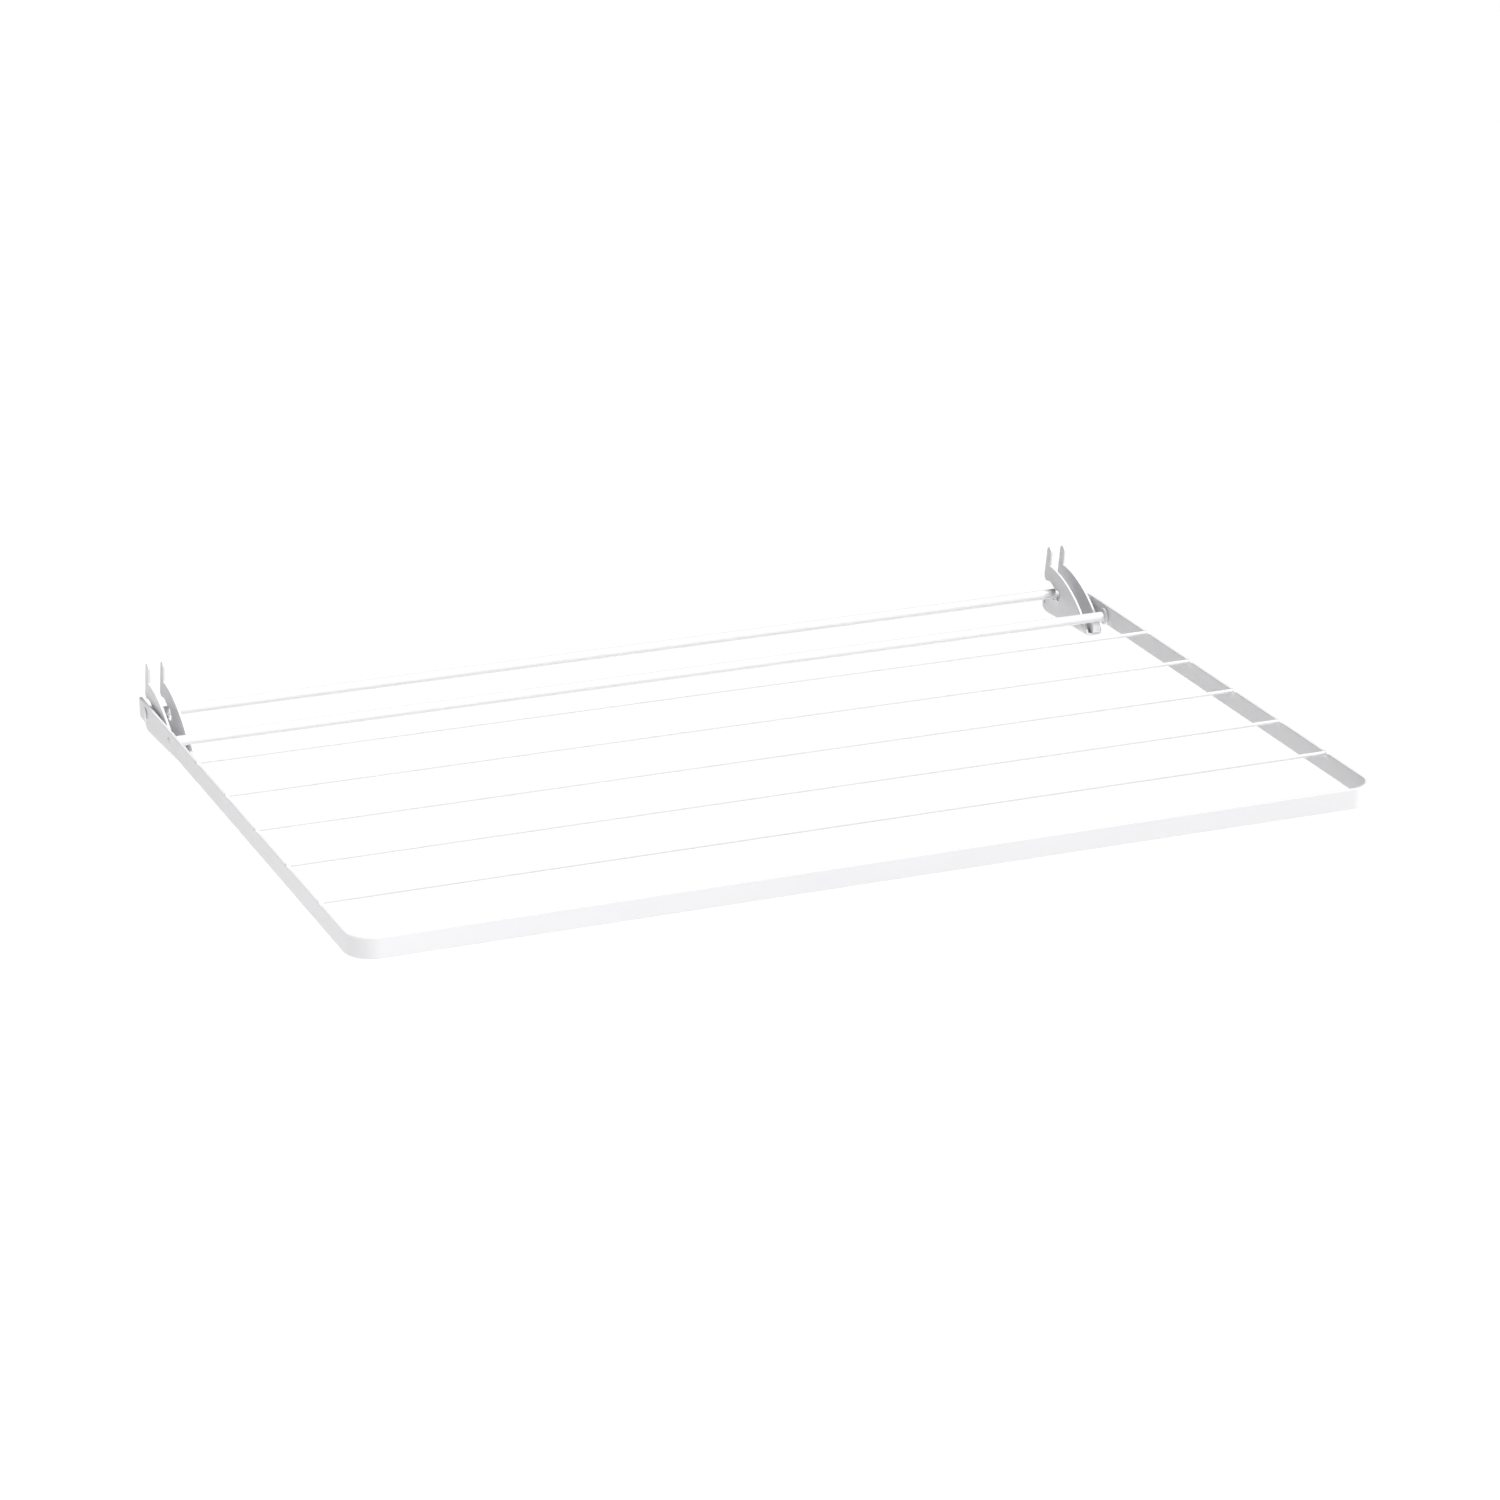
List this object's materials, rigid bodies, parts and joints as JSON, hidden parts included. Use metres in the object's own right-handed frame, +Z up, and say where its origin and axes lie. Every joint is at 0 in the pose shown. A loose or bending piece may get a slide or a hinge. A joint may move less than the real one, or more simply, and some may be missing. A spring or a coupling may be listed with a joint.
{
  "type": "wall mounted folding drying rack",
  "caption": "White wall drying rack: a bent flat bar frame with crossing wires that turns on a rod in two hook-in brackets and rests on plastic saddles.",
  "frame": {"origin": "on the wall plane, midway between the two brackets, at the height of the pivot rod", "axes": "+X to the right along the rods, +Y towards the wall, +Z up"},
  "size_m": [0.8034, 0.535, 0.0586],
  "materials": {
    "powder_coat": "white powder coat on steel, semi-gloss, fine orange peel",
    "white_plastic": "moulded white nylon, satin",
    "painted_rivet": "steel rivet, painted white"
  },
  "bodies": {
    "wall_brackets": {"left_bracket": "powder_coat", "right_bracket": "powder_coat", "left_saddle": "white_plastic", "right_saddle": "white_plastic", "left_saddle_rivet": "painted_rivet", "right_saddle_rivet": "painted_rivet"},
    "pivot_rod": {"pivot_rod": "powder_coat", "left_pivot_washer": "white_plastic", "right_pivot_washer": "white_plastic", "left_pivot_cap": "white_plastic", "right_pivot_cap": "white_plastic"},
    "rack": {"frame": "powder_coat", "wire_1": "powder_coat", "wire_2": "powder_coat", "wire_3": "powder_coat", "wire_4": "powder_coat", "wire_5": "powder_coat", "stop_rod": "powder_coat", "left_stop_washer": "white_plastic", "right_stop_washer": "white_plastic"}
  },
  "joints": [
    {"name": "pull_forward", "type": "slide", "parent": "wall_brackets", "child": "pivot_rod", "axis": [0, -1, 0], "range_m": [0, 0.008]},
    {"name": "fold", "type": "hinge", "parent": "pivot_rod", "child": "rack", "pos_m": [0, -0.02, 0], "axis": [-1, 0, 0], "range_deg": [0, 90]}
  ]
}
